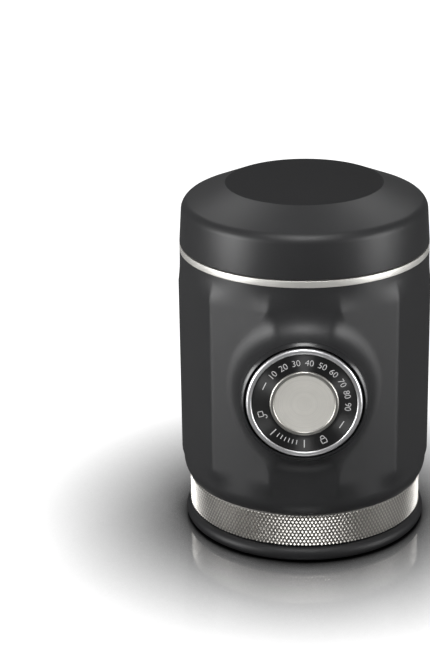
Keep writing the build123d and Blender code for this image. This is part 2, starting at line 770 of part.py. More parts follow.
with BuildPart() as base_cap:
    with BuildSketch(Plane.XY):
        Circle(base_flange_radius)
    extrude(amount=base_flange_height)
    fillet(base_cap.edges().filter_by(GeomType.CIRCLE), base_edge_rounding)
    with BuildSketch(Plane.XY.offset(base_flange_height)):
        annulus(base_lip_radius, base_lip_radius - base_lip_wall)
    extrude(amount=base_lip_height)
    with BuildSketch(Plane.XY):
        annulus(base_foot_groove_radius, base_foot_groove_radius - base_foot_groove_width)
    extrude(amount=base_foot_groove_depth, mode=Mode.SUBTRACT)
finish(base_cap.part, "base_cap")

# ---------------------------------------------------------------- knob and piston
with BuildPart() as piston_knob:
    with BuildSketch(pump_plane(knob_end_y)):
        Circle(knob_skirt_radius)
    extrude(amount=knob_end_y - bezel_back_y)
    with BuildSketch(pump_plane(knob_end_y)):
        Circle(knob_skirt_radius - knob_wall)
    extrude(amount=knob_end_y - plate_back_y, mode=Mode.SUBTRACT)
    with BuildSketch(pump_plane(plate_back_y)):
        Circle(rod_radius)
    extrude(amount=rod_socket, mode=Mode.SUBTRACT)
    chamfer(piston_knob.edges().group_by(Axis.Y)[-1], knob_wall / 4)
finish(piston_knob.part, "piston_knob")

with BuildPart() as chrome_bezel:
    with BuildSketch(pump_plane(bezel_back_y)):
        annulus(bezel_radius, dial_radius)
    extrude(amount=bezel_depth)
    fillet(chrome_bezel.edges().group_by(Axis.Y)[0], bezel_width * 0.4)
finish(chrome_bezel.part, "chrome_bezel")

with BuildPart() as dial_ring:
    with BuildSketch(pump_plane(bezel_back_y)):
        annulus(dial_radius, button_radius)
    extrude(amount=bezel_depth - dial_recess)
finish(dial_ring.part, "dial_ring")

with BuildPart() as button_plate:
    with BuildSketch(pump_plane(bezel_back_y)):
        Circle(button_radius)
    extrude(amount=bezel_depth + button_proud)
    chamfer(button_plate.edges().group_by(Axis.Y)[0], button_bevel * 0.5, button_bevel)
finish(button_plate.part, "button_plate")

with BuildPart() as plunger_rod:
    with BuildSketch(pump_plane(head_front_y)):
        Circle(rod_radius)
    extrude(amount=head_front_y - plate_back_y + rod_socket)
    with BuildSketch(pump_plane(head_front_y)):
        Circle(plunger_screw_shank)
    extrude(amount=plunger_screw_length - plunger_head_length, mode=Mode.SUBTRACT)
finish(plunger_rod.part, "plunger_rod")

with BuildPart() as plunger_head:
    with BuildSketch(pump_plane(head_back_y)):
        annulus(plunger_radius, plunger_screw_shank)
    extrude(amount=plunger_head_length)
    with BuildSketch(pump_plane(seal_front_y + plunger_seal_length)):
        annulus(plunger_radius, plunger_radius - plunger_seal_depth)
    extrude(amount=plunger_seal_length, mode=Mode.SUBTRACT)
finish(plunger_head.part, "plunger_head")

with BuildPart() as plunger_seal:
    with BuildSketch(pump_plane(seal_front_y + plunger_seal_length)):
        annulus(seal_radius, plunger_radius - plunger_seal_depth)
    extrude(amount=plunger_seal_length)
finish(plunger_seal.part, "plunger_seal")

with BuildPart() as plunger_screw:
    with BuildSketch(pump_plane(head_back_y + plunger_screw_head)):
        Circle(plunger_screw_radius)
    extrude(amount=plunger_screw_head)
    with BuildSketch(pump_plane(head_back_y)):
        Circle(plunger_screw_shank)
    extrude(amount=plunger_screw_length)
finish(plunger_screw.part, "plunger_screw")

with BuildPart() as spring_washer:
    with BuildSketch(pump_plane(washer_back_y)):
        annulus(washer_outer_radius, washer_inner_radius)
    extrude(amount=washer_thickness)
finish(spring_washer.part, "spring_washer")

with BuildPart() as return_spring:
    coil_length = washer_front_y - plate_back_y - spring_wire
    with BuildLine():
        coil = Helix(
            pitch=coil_length / spring_turns,
            height=coil_length,
            radius=spring_mean_radius,
            center=(0, washer_front_y - spring_wire / 2, pump_axis_height),
            direction=(0, -1, 0),
        )
    with BuildSketch(Plane(origin=coil @ 0, z_dir=coil % 0)):
        RegularPolygon(radius=spring_wire / 2, side_count=spring_wire_sides)
    sweep()
finish(return_spring.part, "return_spring")
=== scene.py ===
import math

import bmesh
import bpy
from mathutils import Matrix, Vector
from mathutils.kdtree import KDTree


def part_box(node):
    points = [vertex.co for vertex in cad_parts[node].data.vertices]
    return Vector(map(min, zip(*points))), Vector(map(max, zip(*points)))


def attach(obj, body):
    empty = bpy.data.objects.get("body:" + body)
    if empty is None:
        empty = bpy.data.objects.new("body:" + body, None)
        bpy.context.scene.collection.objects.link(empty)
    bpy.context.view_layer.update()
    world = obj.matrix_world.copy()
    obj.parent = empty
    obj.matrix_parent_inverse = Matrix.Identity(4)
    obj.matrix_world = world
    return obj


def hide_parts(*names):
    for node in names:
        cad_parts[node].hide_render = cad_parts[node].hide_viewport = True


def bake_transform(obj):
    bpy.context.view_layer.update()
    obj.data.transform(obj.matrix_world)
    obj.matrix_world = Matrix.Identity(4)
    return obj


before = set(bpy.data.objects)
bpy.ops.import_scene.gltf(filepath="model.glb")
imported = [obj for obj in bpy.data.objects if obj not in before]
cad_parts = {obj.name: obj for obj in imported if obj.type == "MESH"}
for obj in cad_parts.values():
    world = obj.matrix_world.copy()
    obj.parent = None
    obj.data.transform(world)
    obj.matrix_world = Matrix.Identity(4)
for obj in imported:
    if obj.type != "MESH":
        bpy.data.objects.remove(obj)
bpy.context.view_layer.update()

# Every piece below is modelled in millimetres on the axis of the body, with +Z up, and is
# brought to metres by make_piece(). Pieces on the pump's axis are turned on Z first, and
# lay_on_pump() then swings +Z round to the front. A profile lists (radius, height) corners,
# with a third number where a corner is rounded.
PUMP_HEIGHT = 52.0
FLATS = 12
HALF_WIDTH = 35.5  # from the axis to the middle of a flat
NEAR_ENOUGH = 0.01  # two places this close are the same place

# Where one piece meets another.
FOOT, RIM = 14.4, 82.8  # the body's two open ends
BORE = 32.3  # the body's inside
SLEEVE = 15.35  # the hole that the knob slides in
FLANGE_TOP = 84.7
TANK_RADIUS, NECK_RADIUS = 32.1, 31.75
TANK_FLOOR = 69.8
LID_FOOT, LID_TOP, LID_BORE = 85.0, 102.0, 33.4
COLLAR_RADIUS, COLLAR_BORE, COLLAR_TOP = 32.5, 31.85, 29.7
NECK_PITCH, COLLAR_PITCH = 1.6, 2.2

KNURLS, KNURL_ROWS, KNURL_STEP = 190, 10, 0.98
KNURL_ROOT, KNURL_POINT = 33.25, 33.8


# ---------------------------------------------------------------- shader nodes
def add_node(tree, kind, inputs=None, **settings):
    """A shader node. An input takes a number, a colour, or the output that feeds it."""
    made = tree.nodes.new(kind)
    for name, value in settings.items():
        setattr(made, name, value)
    for name, value in (inputs or {}).items():
        if isinstance(value, bpy.types.NodeSocket):
            tree.links.new(value, made.inputs[name])
        else:
            made.inputs[name].default_value = value
    return made


def rescale(tree, value, low=0.0, high=1.0, to_low=0.0, to_high=1.0):
    """Stretches low to high on to to_low to to_high. What lies outside is held at the ends."""
    return add_node(
        tree, "ShaderNodeMapRange",
        {"Value": value, "From Min": low, "From Max": high, "To Min": to_low, "To Max": to_high},
    ).outputs["Result"]


def calculate(tree, operation, first, second):
    return add_node(tree, "ShaderNodeMath", {0: first, 1: second}, operation=operation).outputs[0]


def object_place(tree):
    """Where a point lies on its piece, in metres."""
    return add_node(tree, "ShaderNodeTexCoord").outputs["Object"]


def from_axis(tree, place):
    """How far a place is from the Z axis, and how high it is."""
    apart = add_node(tree, "ShaderNodeSeparateXYZ", {"Vector": place})
    level = add_node(
        tree, "ShaderNodeCombineXYZ", {"X": apart.outputs["X"], "Y": apart.outputs["Y"]}
    )
    radius = add_node(tree, "ShaderNodeVectorMath", {0: level.outputs[0]}, operation="LENGTH")
    return radius.outputs["Value"], apart.outputs["Z"]


# ---------------------------------------------------------------- shader effects
def new_effect(name, inputs):
    """A node group with these inputs and the three outputs that shade() uses, and its two ends."""
    group = bpy.data.node_groups.new(name, "ShaderNodeTree")
    for label, kind, value in inputs:
        socket = group.interface.new_socket(label, in_out="INPUT", socket_type=kind)
        if value is not None:
            socket.default_value = value
    for label, kind in (("Tone", "Float"), ("Roughness", "Float"), ("Normal", "Vector")):
        group.interface.new_socket(label, in_out="OUTPUT", socket_type=f"NodeSocket{kind}")
    return group, group.nodes.new("NodeGroupInput"), group.nodes.new("NodeGroupOutput")


def finish_effect(group, given, result, fine, relief, cloudy, swing):
    """The fine pattern is cut in as a relief, and the cloudy one makes the dullness swing."""
    bump = add_node(
        group, "ShaderNodeBump",
        {"Strength": given.outputs["Depth"], "Distance": relief, "Height": fine},
    )
    drift = rescale(group, cloudy, to_low=-swing, to_high=swing)
    tone = rescale(group, calculate(group, "MULTIPLY", fine, cloudy), low=0.1, high=0.4)
    roughness = calculate(group, "ADD", given.outputs["Dullness"], drift)
    group.links.new(tone, result.inputs["Tone"])
    group.links.new(roughness, result.inputs["Roughness"])
    group.links.new(bump.outputs["Normal"], result.inputs["Normal"])
    return group


def moulded_skin_effect():
    """The fine spark-eroded grain of a moulding, with a slow change of shine over it."""
    group, given, result = new_effect(
        "moulded_skin",
        [
            ("Grain", "NodeSocketFloat", 3200.0),
            ("Depth", "NodeSocketFloat", 0.3),
            ("Dullness", "NodeSocketFloat", 0.4),
        ],
    )
    place = object_place(group)
    grain = add_node(
        group, "ShaderNodeTexNoise",
        {"Vector": place, "Scale": given.outputs["Grain"], "Detail": 2.0, "Roughness": 0.55},
    ).outputs["Fac"]
    slow = add_node(
        group, "ShaderNodeTexNoise",
        {"Vector": place, "Scale": 45.0, "Detail": 4.0, "Roughness": 0.6},
    ).outputs["Fac"]
    return finish_effect(group, given, result, grain, 0.00006, slow, 0.04)


def turned_metal_effect():
    """The fine rings that a lathe leaves, and faint cloudy wear over them."""
    group, given, result = new_effect(
        "turned_metal",
        [
            ("Vector", "NodeSocketVector", None),
            ("Fineness", "NodeSocketFloat", 5000.0),
            ("Depth", "NodeSocketFloat", 0.2),
            ("Dullness", "NodeSocketFloat", 0.25),
        ],
    )
    radius, height = from_axis(group, given.outputs["Vector"])
    along = add_node(group, "ShaderNodeCombineXYZ", {"X": radius, "Y": height})
    rings = add_node(
        group, "ShaderNodeTexNoise",
        {"Vector": along.outputs[0], "Scale": given.outputs["Fineness"], "Detail": 2.0},
    ).outputs["Fac"]
    wear = add_node(
        group, "ShaderNodeTexNoise",
        {"Vector": given.outputs["Vector"], "Scale": 90.0, "Detail": 5.0, "Roughness": 0.65},
    ).outputs["Fac"]
    return finish_effect(group, given, result, rings, 0.00003, wear, 0.07)


MOULDED_SKIN = moulded_skin_effect()
TURNED_METAL = turned_metal_effect()


# ---------------------------------------------------------------- materials
def new_material(name):
    material = bpy.data.materials.new(name)
    material.use_nodes = True
    return material, material.node_tree, material.node_tree.nodes["Principled BSDF"]


def shade(tree, shader, effect, colour, spread):
    """Feeds the shader from an effect. The tone runs from a little under colour to over it."""
    dark = [channel * (1 - spread) for channel in colour] + [1]
    light = [min(1, channel * (1 + spread)) for channel in colour] + [1]
    mix = add_node(
        tree, "ShaderNodeMix", {"Factor": effect.outputs["Tone"], "A": dark, "B": light},
        data_type="RGBA",
    )
    tree.links.new(mix.outputs["Result"], shader.inputs["Base Color"])
    tree.links.new(effect.outputs["Roughness"], shader.inputs["Roughness"])
    tree.links.new(effect.outputs["Normal"], shader.inputs["Normal"])


def moulding(name, colour, dullness, grain=3200.0, depth=0.3, spread=0.12, **sockets):
    """A moulded plastic or rubber. sockets are the shader's own, with _ for a space."""
    material, tree, shader = new_material(name)
    effect = add_node(
        tree, "ShaderNodeGroup", {"Grain": grain, "Depth": depth, "Dullness": dullness},
        node_tree=MOULDED_SKIN,
    )
    shade(tree, shader, effect, colour, spread)
    for socket, value in sockets.items():
        shader.inputs[socket.replace("_", " ")].default_value = value
    return material


def turned_metal(
    name, colour, dullness, fineness=5000.0, depth=0.2, on_pump=False, spread=0.06, metallic=1.0
):
    """A metal with lathe rings round the body's axis, or round the pump's."""
    material, tree, shader = new_material(name)
    centred = add_node(tree, "ShaderNodeMapping", {"Vector": object_place(tree)})
    if on_pump:
        centred.inputs["Rotation"].default_value = (-math.pi / 2, 0, 0)
        centred.inputs["Location"].default_value = (0, -PUMP_HEIGHT / 1000, 0)
    effect = add_node(
        tree, "ShaderNodeGroup",
        {
            "Vector": centred.outputs["Vector"], "Fineness": fineness, "Depth": depth,
            "Dullness": dullness,
        },
        node_tree=TURNED_METAL,
    )
    shade(tree, shader, effect, colour, spread)
    shader.inputs["Metallic"].default_value = metallic
    return material


def radial_sheen(material, strength):
    """Draws highlights out across the lathe rings of a face on the pump's axis."""
    tree = material.node_tree
    outward = add_node(
        tree, "ShaderNodeMapping",
        {"Vector": object_place(tree), "Location": (0, 0, -PUMP_HEIGHT / 1000)},
    )
    shader = tree.nodes["Principled BSDF"]
    shader.inputs["Anisotropic"].default_value = strength
    tree.links.new(outward.outputs["Vector"], shader.inputs["Tangent"])
    return material


def painted_root_shade(material, root_shade):
    """Paints shade into a knurled metal: darker towards the roots of its points, down to this
    share.
    """
    tree = material.node_tree
    shader = tree.nodes["Principled BSDF"]
    radius, _ = from_axis(tree, object_place(tree))
    share = rescale(tree, radius, KNURL_ROOT / 1000, KNURL_POINT / 1000, root_shade, 1.0)
    unshaded = shader.inputs["Base Color"].links[0].from_socket
    root_shaded = add_node(
        tree, "ShaderNodeVectorMath", {0: unshaded, "Scale": share}, operation="SCALE"
    )
    tree.links.new(root_shaded.outputs["Vector"], shader.inputs["Base Color"])
    return material


SATIN_BLACK = (0.0205, 0.0207, 0.0218)
body_black = moulding("body_black", SATIN_BLACK, 0.455)
edge_black = moulding("edge_black", SATIN_BLACK, 0.24, depth=0.05)
lid_black = moulding("lid_black", SATIN_BLACK, 0.455)
disc_black = moulding("disc_black", (0.02, 0.02, 0.021), 0.6, Specular_IOR_Level=0.15)
base_black = moulding(
    "base_black", (0.0155, 0.0155, 0.0165), 0.5, grain=2600.0, Specular_IOR_Level=0.35
)
inner_black = moulding("inner_black", (0.03, 0.03, 0.032), 0.45, depth=0.15)
white_acetal = moulding("white_acetal", (0.72, 0.72, 0.70), 0.35, depth=0.1, spread=0.04)
seal_black = moulding("seal_black", (0.02, 0.02, 0.02), 0.55, depth=0.2)
silicone_grey = moulding(
    "silicone_grey", (0.62, 0.62, 0.60), 0.5, depth=0.1, spread=0.05, Subsurface_Weight=0.15
)
gloss_black = radial_sheen(
    moulding("gloss_black", (0.004, 0.004, 0.0042), 0.45, depth=0.02, Specular_IOR_Level=1.0),
    strength=1.0,
)
printed_white = moulding("printed_white", (0.72, 0.72, 0.72), 0.45, depth=0.1, spread=0.05)
flange_steel = turned_metal("flange_steel", (0.84, 0.825, 0.785), 0.48, metallic=0.8)
tank_steel = turned_metal("tank_steel", (0.62, 0.61, 0.58), 0.3)
thread_steel = turned_metal("thread_steel", (0.60, 0.58, 0.55), 0.25)
# the knurl's colour carries painted shade, darkest in the roots between its points
knurl_steel = painted_root_shade(
    turned_metal("knurl_steel", (0.80, 0.775, 0.735), 0.46, depth=0.05), root_shade=0.42
)
pump_steel = turned_metal("pump_steel", (0.62, 0.61, 0.59), 0.22, on_pump=True)
rim_steel = turned_metal("rim_steel", (0.50, 0.49, 0.46), 0.4, on_pump=True)
button_steel = turned_metal(
    "button_steel", (0.92, 0.90, 0.84), 0.48, on_pump=True, metallic=0.6
)
bezel_chrome = turned_metal(
    "bezel_chrome", (0.90, 0.90, 0.91), 0.38, depth=0.05, on_pump=True, spread=0.02
)


# ---------------------------------------------------------------- ways of making a mesh
def everything(bm):
    return bm.verts[:] + bm.edges[:] + bm.faces[:]


def corners_in(items):
    return [item for item in items if isinstance(item, bmesh.types.BMVert)]


def rotate(bm, corners, angle, axis="Z"):
    """Turns corners about an axis through the origin."""
    bmesh.ops.rotate(bm, verts=corners, cent=(0, 0, 0), matrix=Matrix.Rotation(angle, 3, axis))


def spin(bm, geom, angle, steps, climb=0.0, merge=False):
    """Sweeps geom round the Z axis, and up by climb on the way. Returns its far end."""
    return bmesh.ops.spin(
        bm, geom=geom, axis=(0, 0, 1), cent=(0, 0, 0), angle=angle, steps=steps,
        dvec=(0, 0, climb / steps), use_merge=merge,
    )["geom_last"]


def turned(points, steps=192, closed=False, segments=4):
    """A mesh turned on Z from the points of a profile."""
    bm = bmesh.new()
    corners = [bm.verts.new((point[0], 0, point[1])) for point in points]
    pairs = list(zip(corners, corners[1:]))
    if closed:
        pairs.append((corners[-1], corners[0]))
    for pair in pairs:
        bm.edges.new(pair)
    for corner, point in zip(corners, points):
        if len(point) > 2:
            bmesh.ops.bevel(
                bm, geom=[corner], offset=point[2], offset_type="OFFSET", segments=segments,
                profile=0.5, affect="VERTICES", material=-1,
            )
    spin(bm, everything(bm), 2 * math.pi, steps, merge=True)
    bmesh.ops.remove_doubles(bm, verts=bm.verts[:], dist=0.0005)
    bmesh.ops.recalc_face_normals(bm, faces=bm.faces[:])
    return bm


def lay_on_pump(bm):
    """Swings a mesh that was made on Z on to the pump's axis, with its +Z to the front."""
    rotate(bm, bm.verts[:], math.pi / 2, "X")
    bmesh.ops.translate(bm, verts=bm.verts[:], vec=(0, 0, PUMP_HEIGHT))


def use_second_material(bm, test):
    """Faces whose middle passes the test take the second of the piece's materials."""
    for face in bm.faces:
        if test(face.calc_center_median()):
            face.material_index = 1


def make_piece(bm, name, body, slot, nodes, *materials, crease=32, stretched=None):
    """The finished piece: in metres, smooth but for its creases, riding on its body.

    A spring gives stretched instead: another body and its two ends in metres, which are not used;
    the spring is left where it lies, on no body.
    """
    bmesh.ops.scale(bm, verts=bm.verts[:], vec=(0.001, 0.001, 0.001))
    limit = math.radians(crease)
    for face in bm.faces:
        face.smooth = True
    for edge in bm.edges:
        edge.smooth = edge.is_manifold and edge.calc_face_angle(0) < limit
    mesh = bpy.data.meshes.new(name)
    bm.to_mesh(mesh)
    bm.free()
    for material in materials:
        mesh.materials.append(material)
    piece = bpy.data.objects.new(name, mesh)
    bpy.context.scene.collection.objects.link(piece)
    if stretched:
        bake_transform(piece)
    else:
        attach(piece, body)
    if nodes:
        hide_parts(*nodes)
    return piece


def add_mesh(bm, extra):
    """Puts another mesh's faces into bm, and frees it."""
    spare = bpy.data.meshes.new("spare")
    extra.to_mesh(spare)
    extra.free()
    bm.from_mesh(spare)
    bpy.data.meshes.remove(spare)


def repeat(bm, count, step):
    """Doubles everything in bm along a step until there are count of it, a power of two."""
    done = 1
    while done < count:
        made = bmesh.ops.duplicate(bm, geom=everything(bm))["geom"]
        bmesh.ops.translate(bm, verts=corners_in(made), vec=Vector(step) * done)
        done *= 2


def thicken(bm, height):
    """Gives a level sheet a thickness, upward from where it lies."""
    made = bmesh.ops.extrude_face_region(bm, geom=bm.faces[:])["geom"]
    bmesh.ops.translate(bm, verts=corners_in(made), vec=(0, 0, height))
    bmesh.ops.recalc_face_normals(bm, faces=bm.faces[:])


def cut_thread(bm, radius, height, low, high, pitch):
    """Adds a screw thread's ridge. height is how far its crest stands out, or in if negative."""
    ridge = bmesh.new()
    root = pitch * 0.32  # half of the ridge's width where it meets the wall
    crest = root * 0.3
    sunk = -0.15 if height > 0 else 0.15
    corners = [
        ridge.verts.new((radius + out, 0, low + root + z))
        for out, z in ((sunk, -root), (height, -crest), (height, crest), (sunk, root))
    ]
    ridge.faces.new(corners)
    turns = (high - low - 2 * root) / pitch
    spin(ridge, everything(ridge), 2 * math.pi * turns, round(turns * 96), pitch * turns)
    bmesh.ops.recalc_face_normals(ridge, faces=ridge.faces[:])
    add_mesh(bm, ridge)


def open_edges(bm, inside):
    return [e for e in bm.edges if len(e.link_faces) == 1 and all(inside(v.co) for v in e.verts)]


# ---------------------------------------------------------------- body
WALL_STEPS = 360  # faces round the wall, outside and inside
CORNER_ROUNDING = 1.2  # where two flats meet
PLAIN_FOOT, PLAIN_RIM, FADE = 4.0, 1.0, 6.5  # how high each end stays round, and the change
FOOT_CURVE, FOOT_CURVE_HEIGHT = 8.3, 5.0  # the foot's turn inward: its radius and its reach
BOSS_RADIUS, BOSS_FRONT, BOSS_BLEND, BOSS_BORE = 17.6, 41.9, 8.0, 16.45
BOSS_EDGE, BOSS_EDGE_FLATNESS = 1.0, 1.7  # the front edge: 1 is round, 2 is a plain chamfer
BOSS_SPREAD = 0.6  # the angle from the front within which corners soften towards the boss
SOFTENING, SOFT_START, SOFT_REACH = 11.0, 3.0, 7.5  # by how much, from where, and over how far
WINDOW_RINGS, BLEND_RINGS, MOUTH_RINGS = 10, 10, 9


def flat_radius(angle, rounding):
    """From the axis to the flats, at this angle from the front, with the corners rounded."""
    half = math.pi / FLATS
    off = abs((angle + half) % (2 * half) - half)
    if off < math.atan((HALF_WIDTH - rounding) * math.tan(half) / HALF_WIDTH):
        return HALF_WIDTH / math.cos(off)
    centre = (HALF_WIDTH - rounding) / math.cos(half)
    side = half - off
    return centre * math.cos(side) + math.sqrt(rounding**2 - (centre * math.sin(side)) ** 2)


def ease(value):
    """0 up to 1, with a soft start and a soft end."""
    value = min(1, max(0, value))
    return value * value * (3 - 2 * value)


def wall_radius(angle, z):
    """The body's outer wall: the flats run out softly into a round foot and a round rim."""
    fade = min(ease((z - FOOT - PLAIN_FOOT) / FADE), ease((RIM - PLAIN_RIM - z) / FADE))
    rounding = CORNER_ROUNDING
    if abs(angle) < BOSS_SPREAD:
        away = math.hypot(HALF_WIDTH * math.sin(angle), z - PUMP_HEIGHT) - BOSS_RADIUS
        rounding += SOFTENING * (1 - ease((away - SOFT_START) / SOFT_REACH))
    radius = HALF_WIDTH + fade * (flat_radius(angle, rounding) - HALF_WIDTH)
    below = FOOT + FOOT_CURVE_HEIGHT - z
    if below > 0:
        radius -= FOOT_CURVE - math.sqrt(FOOT_CURVE**2 - below**2)
    return radius


def wall_depth(x, z):
    """How far in front of the axis the outer wall is, at this place on the front."""
    angle = math.asin(x / HALF_WIDTH * 0.98)  # a first guess, which the loop narrows
    for _ in range(8):
        angle = math.asin(max(-1, min(1, x / wall_radius(angle, z))))
    return wall_radius(angle, z) * math.cos(angle)


def outer_wall():
    """The wall's outer skin, with rows close together where the foot and the rim curve."""
    heights = [FOOT + 0.35 * n for n in range(15)]
    heights += [FOOT + 5.25 + 0.8 * n for n in range(1, 9)]
    heights += range(27, 79)
    heights += [78 + 0.6 * n for n in range(1, 8)] + [RIM]
    bm = bmesh.new()
    column = [bm.verts.new((0, -HALF_WIDTH, z)) for z in heights]
    for pair in zip(column, column[1:]):
        bm.edges.new(pair)
    spin(bm, everything(bm), 2 * math.pi, WALL_STEPS, merge=True)
    bmesh.ops.remove_doubles(bm, verts=bm.verts[:], dist=0.0005)
    for corner in bm.verts:
        angle = math.atan2(corner.co.x, -corner.co.y)
        radius = wall_radius(angle, corner.co.z)
        corner.co.x, corner.co.y = radius * math.sin(angle), -radius * math.cos(angle)
    return bm


def cut_window(bm, half_width, half_height):
    """Cuts a window round the pump's axis in the front of a wall. Returns its edges."""
    gone = []
    for face in bm.faces:
        middle = face.calc_center_median()
        up = middle.z - PUMP_HEIGHT
        if middle.y < 0 and abs(middle.x) < half_width and abs(up) < half_height:
            gone.append(face)
    bmesh.ops.delete(bm, geom=gone, context="FACES")
    return open_edges(bm, lambda co: co.y < 0 and abs(co.z - PUMP_HEIGHT) < half_height + 1)


def ring_in(bm, edges, place):
    """Extrudes a closed loop of edges and puts each new corner where place(angle) says."""
    made = bmesh.ops.extrude_edge_only(bm, edges=edges)["geom"]
    for corner in corners_in(made):
        x, depth, z = place(math.atan2(corner.co.z - PUMP_HEIGHT, corner.co.x))
        corner.co = (x, -depth, z + PUMP_HEIGHT)
    return [item for item in made if isinstance(item, bmesh.types.BMEdge)]


def around(radius, angle, depth):
    """A place on a circle round the pump's axis, this far in front of the body's axis."""
    return radius * math.cos(angle), depth, radius * math.sin(angle)


def boss_root(angle):
    """The arc that blends the wall into the boss: its centre's radius and depth, and its ends."""
    def depth_at(r):
        return wall_depth(r * math.cos(angle), PUMP_HEIGHT + r * math.sin(angle))

    front = BOSS_FRONT - BOSS_EDGE
    radius = BOSS_RADIUS + BOSS_BLEND
    near, far = 0.5, 3.5  # where the wall's slope is taken, inward of the arc's centre
    slope = (depth_at(radius - near) - depth_at(radius - far)) / (far - near)
    slant = math.hypot(1, slope)
    halfway = (near + far) / 2
    centre = depth_at(radius - halfway) + halfway * slope + BOSS_BLEND * slant
    if centre > front:
        low, high = BOSS_RADIUS, radius
        for _ in range(30):
            guess = (low + high) / 2
            depth = centre + slope * (guess - radius)
            if math.hypot(guess - BOSS_RADIUS, depth - front) > BOSS_BLEND:
                high = guess
            else:
                low = guess
        centre += slope * (low - radius)
        radius = low
    last = math.atan2(min(0, front - centre), BOSS_RADIUS - radius)
    return radius, centre, math.atan2(-1 / slant, slope / slant), last if last < 0 else -math.pi


def add_boss(bm):
    """Lets the pump's boss into the front wall: the blend, its rounded mouth and its bore."""
    rim = cut_window(bm, 24.6, 26.2)
    window = {}
    for corner in {v for e in rim for v in e.verts}:
        across, up = corner.co.x, corner.co.z - PUMP_HEIGHT
        window[round(math.atan2(up, across), 4)] = math.hypot(across, up)

    for ring in range(1, WINDOW_RINGS + 1):
        def on_wall(angle, share=ring / WINDOW_RINGS):
            root, _, first, _ = boss_root(angle)
            end = root + BOSS_BLEND * math.cos(first)
            start = window[min(window, key=lambda known: abs(known - angle))]
            radius = start + (end - start) * share
            x, z = radius * math.cos(angle), radius * math.sin(angle)
            return x, wall_depth(x, z + PUMP_HEIGHT), z
        rim = ring_in(bm, rim, on_wall)
    for ring in range(1, BLEND_RINGS + 1):
        def on_blend(angle, share=ring / BLEND_RINGS):
            root, centre, first, last = boss_root(angle)
            turn = first + (last - first) * share
            return around(
                root + BOSS_BLEND * math.cos(turn), angle, centre + BOSS_BLEND * math.sin(turn)
            )
        rim = ring_in(bm, rim, on_blend)

    mouth = [
        (
            BOSS_RADIUS - BOSS_EDGE * (1 - abs(math.cos(turn)) ** BOSS_EDGE_FLATNESS),
            BOSS_FRONT - BOSS_EDGE * (1 - abs(math.sin(turn)) ** BOSS_EDGE_FLATNESS),
        )
        for turn in (math.pi / 2 * n / MOUTH_RINGS for n in range(MOUTH_RINGS + 1))
    ]
    mouth += [
        (BOSS_BORE + 0.1, BOSS_FRONT - 0.02), (BOSS_BORE, BOSS_FRONT - 0.2),
        (BOSS_BORE, BOSS_FRONT - 4.2), (BOSS_BORE, BORE), (SLEEVE, BORE),
    ]
    for radius, depth in mouth:
        rim = ring_in(bm, rim, lambda angle, r=radius, d=depth: around(r, angle, d))
    use_second_material(bm, lambda middle: middle.y < -(BOSS_FRONT - BOSS_EDGE))


def inner_wall():
    """The inside: a groove for the O-ring, the bore, the steel collar's seat, the knob's hole."""
    bm = turned(
        [(34.7, RIM), (34.7, 81.2), (33.1, 81.2), (33.1, RIM), (BORE, RIM)]
        + [(BORE, z) for z in range(80, 29, -1)]
        + [(BORE, COLLAR_TOP), (COLLAR_RADIUS, COLLAR_TOP), (COLLAR_RADIUS, FOOT)],
        steps=WALL_STEPS,
    )
    level = Vector((1, 1, 0))
    outward = [f for f in bm.faces if f.normal.dot(f.calc_center_median() * level) > 0]
    bmesh.ops.reverse_faces(bm, faces=outward)

    def on_bore(angle):
        return around(SLEEVE, angle, math.sqrt(BORE**2 - (SLEEVE * math.cos(angle)) ** 2) - 0.02)

    ring_in(bm, cut_window(bm, 19, 18), on_bore)
    return bm


def clamping_ledge():
    """The ledge that the pump and the brew head clamp to. It is open in front, at the knob."""
    ledge = bmesh.new()
    section = ((27.0, 36.1), (32.4, 36.1), (32.4, 39.1), (27.0, 39.1))
    ledge.faces.new([ledge.verts.new((radius, 0, z)) for radius, z in section])
    gap = math.radians(35)
    rotate(ledge, ledge.verts[:], gap - math.pi / 2)
    spin(ledge, everything(ledge), 2 * (math.pi - gap), 120)
    bmesh.ops.recalc_face_normals(ledge, faces=ledge.faces[:])
    return ledge


def body_shell():
    bm = outer_wall()
    add_boss(bm)
    add_mesh(bm, inner_wall())
    for end in (RIM, FOOT):
        edges = open_edges(bm, lambda co: abs(co.z - end) < NEAR_ENOUGH)
        bmesh.ops.bridge_loops(bm, edges=edges)
    hole = open_edges(
        bm,
        lambda co: co.y < 0 and abs(math.hypot(co.x, co.z - PUMP_HEIGHT) - SLEEVE) < NEAR_ENOUGH,
    )
    bmesh.ops.bridge_loops(bm, edges=hole)
    bmesh.ops.recalc_face_normals(bm, faces=bm.faces[:])
    add_mesh(bm, clamping_ledge())
    make_piece(
        bm, "body_housing", "main", "black_plastic", ["body_shell"], body_black, edge_black,
        crease=38,
    )


# ---------------------------------------------------------------- lid
def lid():
    cap = turned(
        [
            (0, LID_TOP), (22.1, LID_TOP, 0.25), (34.75, 96.7, 2.0), (HALF_WIDTH, LID_FOOT, 0.3),
            (LID_BORE, LID_FOOT), (LID_BORE, 96.3), (20.4, 100.0), (0, 100.0),
        ],
        steps=256, segments=6,
    )
    use_second_material(cap, lambda middle: middle.z > LID_TOP - 0.1)
    make_piece(
        cap, "lid_cap", "lid", "black_plastic", ["lid_shell"], lid_black, disc_black, crease=12
    )

    inside = 32.85
    liner = turned(
        [
            (0, 95.2), (inside, 95.2, 0.4), (inside, 85.9), (LID_BORE, 85.9, 0.15),
            (LID_BORE, 96.25), (33.05, 96.4), (0, 96.4),
        ],
    )
    cut_thread(liner, inside, -0.4, low=86.6, high=92.6, pitch=NECK_PITCH)
    make_piece(liner, "lid_thread", "lid", "inner_plastic", ["lid_liner"], inner_black)


